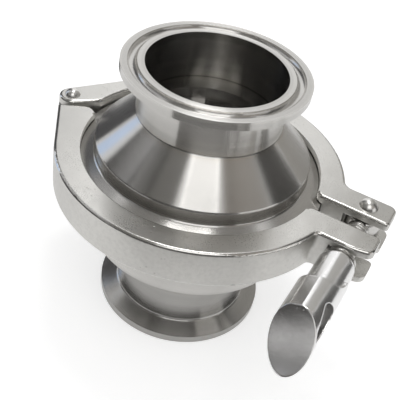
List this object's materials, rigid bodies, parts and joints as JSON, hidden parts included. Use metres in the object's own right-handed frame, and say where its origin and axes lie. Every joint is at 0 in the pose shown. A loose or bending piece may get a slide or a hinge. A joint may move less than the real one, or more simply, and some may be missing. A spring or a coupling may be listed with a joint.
{
  "type": "sanitary non-return valve",
  "caption": "In-line spring-loaded sanitary non-return valve with ferrule pipe ends and a two-part chamber held by a hinged clamp with a swing bolt and handle nut.",
  "frame": {"origin": "centre of the inlet ferrule's face, which is the base the valve stands on", "axes": "+Z along the pipe axis in the direction of flow, +X from the clamp's hinge towards its bolt, +Y towards the fixed clamp half"},
  "size_m": [0.131, 0.1147, 0.1012],
  "materials": {
    "turned_steel": "polished turned stainless steel",
    "cast_steel": "bead-blasted cast stainless steel with polished edges",
    "bright_steel": "bright drawn stainless steel",
    "spring_steel": "drawn stainless spring wire",
    "seal_rubber": "matte black elastomer",
    "bush_plastic": "white bearing plastic"
  },
  "bodies": {
    "valve_body": {"inlet_ferrule": "turned_steel", "lower_body": "turned_steel", "body_seal_ring": "seal_rubber", "upper_body": "turned_steel", "outlet_ferrule": "turned_steel", "guide_spider": "bright_steel", "guide_bush": "bush_plastic", "return_spring": "spring_steel", "back_clamp_half": "cast_steel", "hinge_pin": "bright_steel", "bolt_pin": "bright_steel"},
    "plug": {"valve_disc": "bright_steel", "valve_stem": "bright_steel", "plug_seal": "seal_rubber", "seal_retainer": "bright_steel", "plug_nut": "bright_steel"},
    "front_clamp": {"front_clamp_half": "cast_steel"},
    "bolt": {"eye_bolt": "bright_steel"},
    "nut_carriage": {"nut_washer": "bright_steel"},
    "nut": {"clamp_nut": "cast_steel"}
  },
  "joints": [
    {"name": "plug_lift", "type": "slide", "parent": "valve_body", "child": "plug", "axis": [0, 0, 1], "range_m": [0, 0.012], "stiffness_N_per_m": 1180, "springref_m": -0.0076, "deforming": ["return_spring"]},
    {"name": "nut_spin", "type": "hinge", "parent": "nut_carriage", "child": "nut", "pos_m": [0.0601, -0.0137, 0.05962], "axis": [0, -1, 0], "range_deg": [0, 5040]},
    {"name": "nut_travel", "type": "slide", "parent": "bolt", "child": "nut_carriage", "axis": [0, -1, 0], "range_m": [0, 0.0198]},
    {"name": "bolt_swing", "type": "hinge", "parent": "valve_body", "child": "bolt", "pos_m": [0.0601, 0.0105, 0.05962], "axis": [0, 0, 1], "range_deg": [0, 100]},
    {"name": "clamp_open", "type": "hinge", "parent": "valve_body", "child": "front_clamp", "pos_m": [-0.0567, 0, 0.05962], "axis": [0, 0, -1], "range_deg": [0, 8.6]}
  ],
  "couplings": [
    {"joint": "nut_travel", "follows": "nut_spin", "m_per_rad": 0.00022457},
    {"joint": "clamp_open", "follows": "nut_spin", "ratio": 0.0017}
  ]
}
